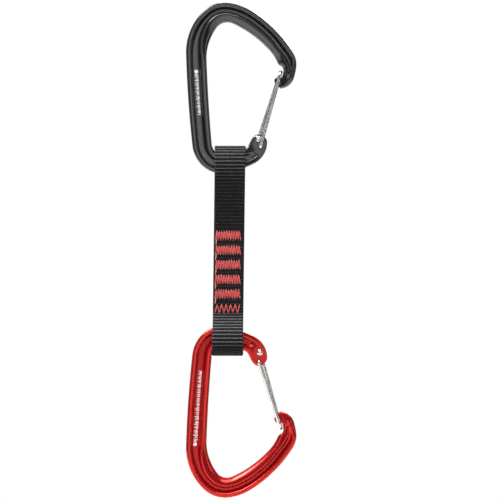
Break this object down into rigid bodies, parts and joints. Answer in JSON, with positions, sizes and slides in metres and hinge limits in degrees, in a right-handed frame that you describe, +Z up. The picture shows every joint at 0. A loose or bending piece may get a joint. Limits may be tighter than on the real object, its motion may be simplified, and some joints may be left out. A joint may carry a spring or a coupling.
{
  "type": "climbing quickdraw",
  "caption": "Sport climbing quickdraw: black and red wire-gate carabiners joined by a short sewn webbing sling with bartacked stitching.",
  "frame": {"origin": "lowest point of the inside of the hanger carabiner's crown, where a bolt hanger bears when the quickdraw hangs", "axes": "+Z up along the quickdraw, +X towards the gates, +Y away from the viewer, across the flat faces"},
  "size_m": [0.063, 0.0204, 0.2828],
  "materials": {
    "black_anodised": "satin black anodising over forged aluminium",
    "red_anodised": "glossy red anodising over forged aluminium",
    "gate_steel": "drawn stainless steel wire, lightly polished",
    "webbing": "ribbed polyester webbing, dark grey ribs on near black",
    "bartack_thread": "coral red bonded sewing thread, dense zigzag",
    "keeper_rubber": "matte black rubber"
  },
  "bodies": {
    "hanger_carabiner": {"hanger_carabiner_frame": "black_anodised"},
    "hanger_gate": {"hanger_gate_wire": "gate_steel"},
    "hanger_spring_leg": {"hanger_gate_spring_leg": "gate_steel"},
    "sling": {"sling_webbing": "webbing", "bartack_1": "bartack_thread", "bartack_2": "bartack_thread", "bartack_3": "bartack_thread", "bartack_4": "bartack_thread", "bartack_5": "bartack_thread", "bartack_6": "bartack_thread", "rubber_keeper": "keeper_rubber"},
    "rope_carabiner": {"rope_carabiner_frame": "red_anodised"},
    "rope_gate": {"rope_gate_wire": "gate_steel"},
    "rope_spring_leg": {"rope_gate_spring_leg": "gate_steel"}
  },
  "joints": [
    {"name": "hanger_gate_open", "type": "hinge", "parent": "hanger_carabiner", "child": "hanger_gate", "pos_m": [0.0194, 0, -0.0714], "axis": [0, -1, 0], "range_deg": [0, 48], "stiffness_Nm_per_rad": 0.2, "springref_deg": -57.3},
    {"name": "hanger_spring_leg_follow", "type": "hinge", "parent": "hanger_carabiner", "child": "hanger_spring_leg", "pos_m": [0.0186, 0, -0.0666], "axis": [0, -1, 0], "range_deg": [0, 54.5]},
    {"name": "sling_swing", "type": "hinge", "parent": "hanger_carabiner", "child": "sling", "pos_m": [0.0017, 0, -0.0796], "axis": [1, 0, 0], "range_deg": [-110, 110]},
    {"name": "rope_carabiner_swing", "type": "hinge", "parent": "sling", "child": "rope_carabiner", "pos_m": [0.0017, 0, -0.1802], "axis": [-1, 0, 0], "range_deg": [-110, 110]},
    {"name": "rope_gate_open", "type": "hinge", "parent": "rope_carabiner", "child": "rope_gate", "pos_m": [0.0194, 0, -0.1884], "axis": [0, 1, 0], "range_deg": [0, 48], "stiffness_Nm_per_rad": 0.2, "springref_deg": -57.3},
    {"name": "rope_spring_leg_follow", "type": "hinge", "parent": "rope_carabiner", "child": "rope_spring_leg", "pos_m": [0.0186, 0, -0.1932], "axis": [0, 1, 0], "range_deg": [0, 54.5]}
  ],
  "couplings": [
    {"joint": "hanger_spring_leg_follow", "follows": "hanger_gate_open", "ratio": 1.1235},
    {"joint": "rope_spring_leg_follow", "follows": "rope_gate_open", "ratio": 1.1235}
  ]
}
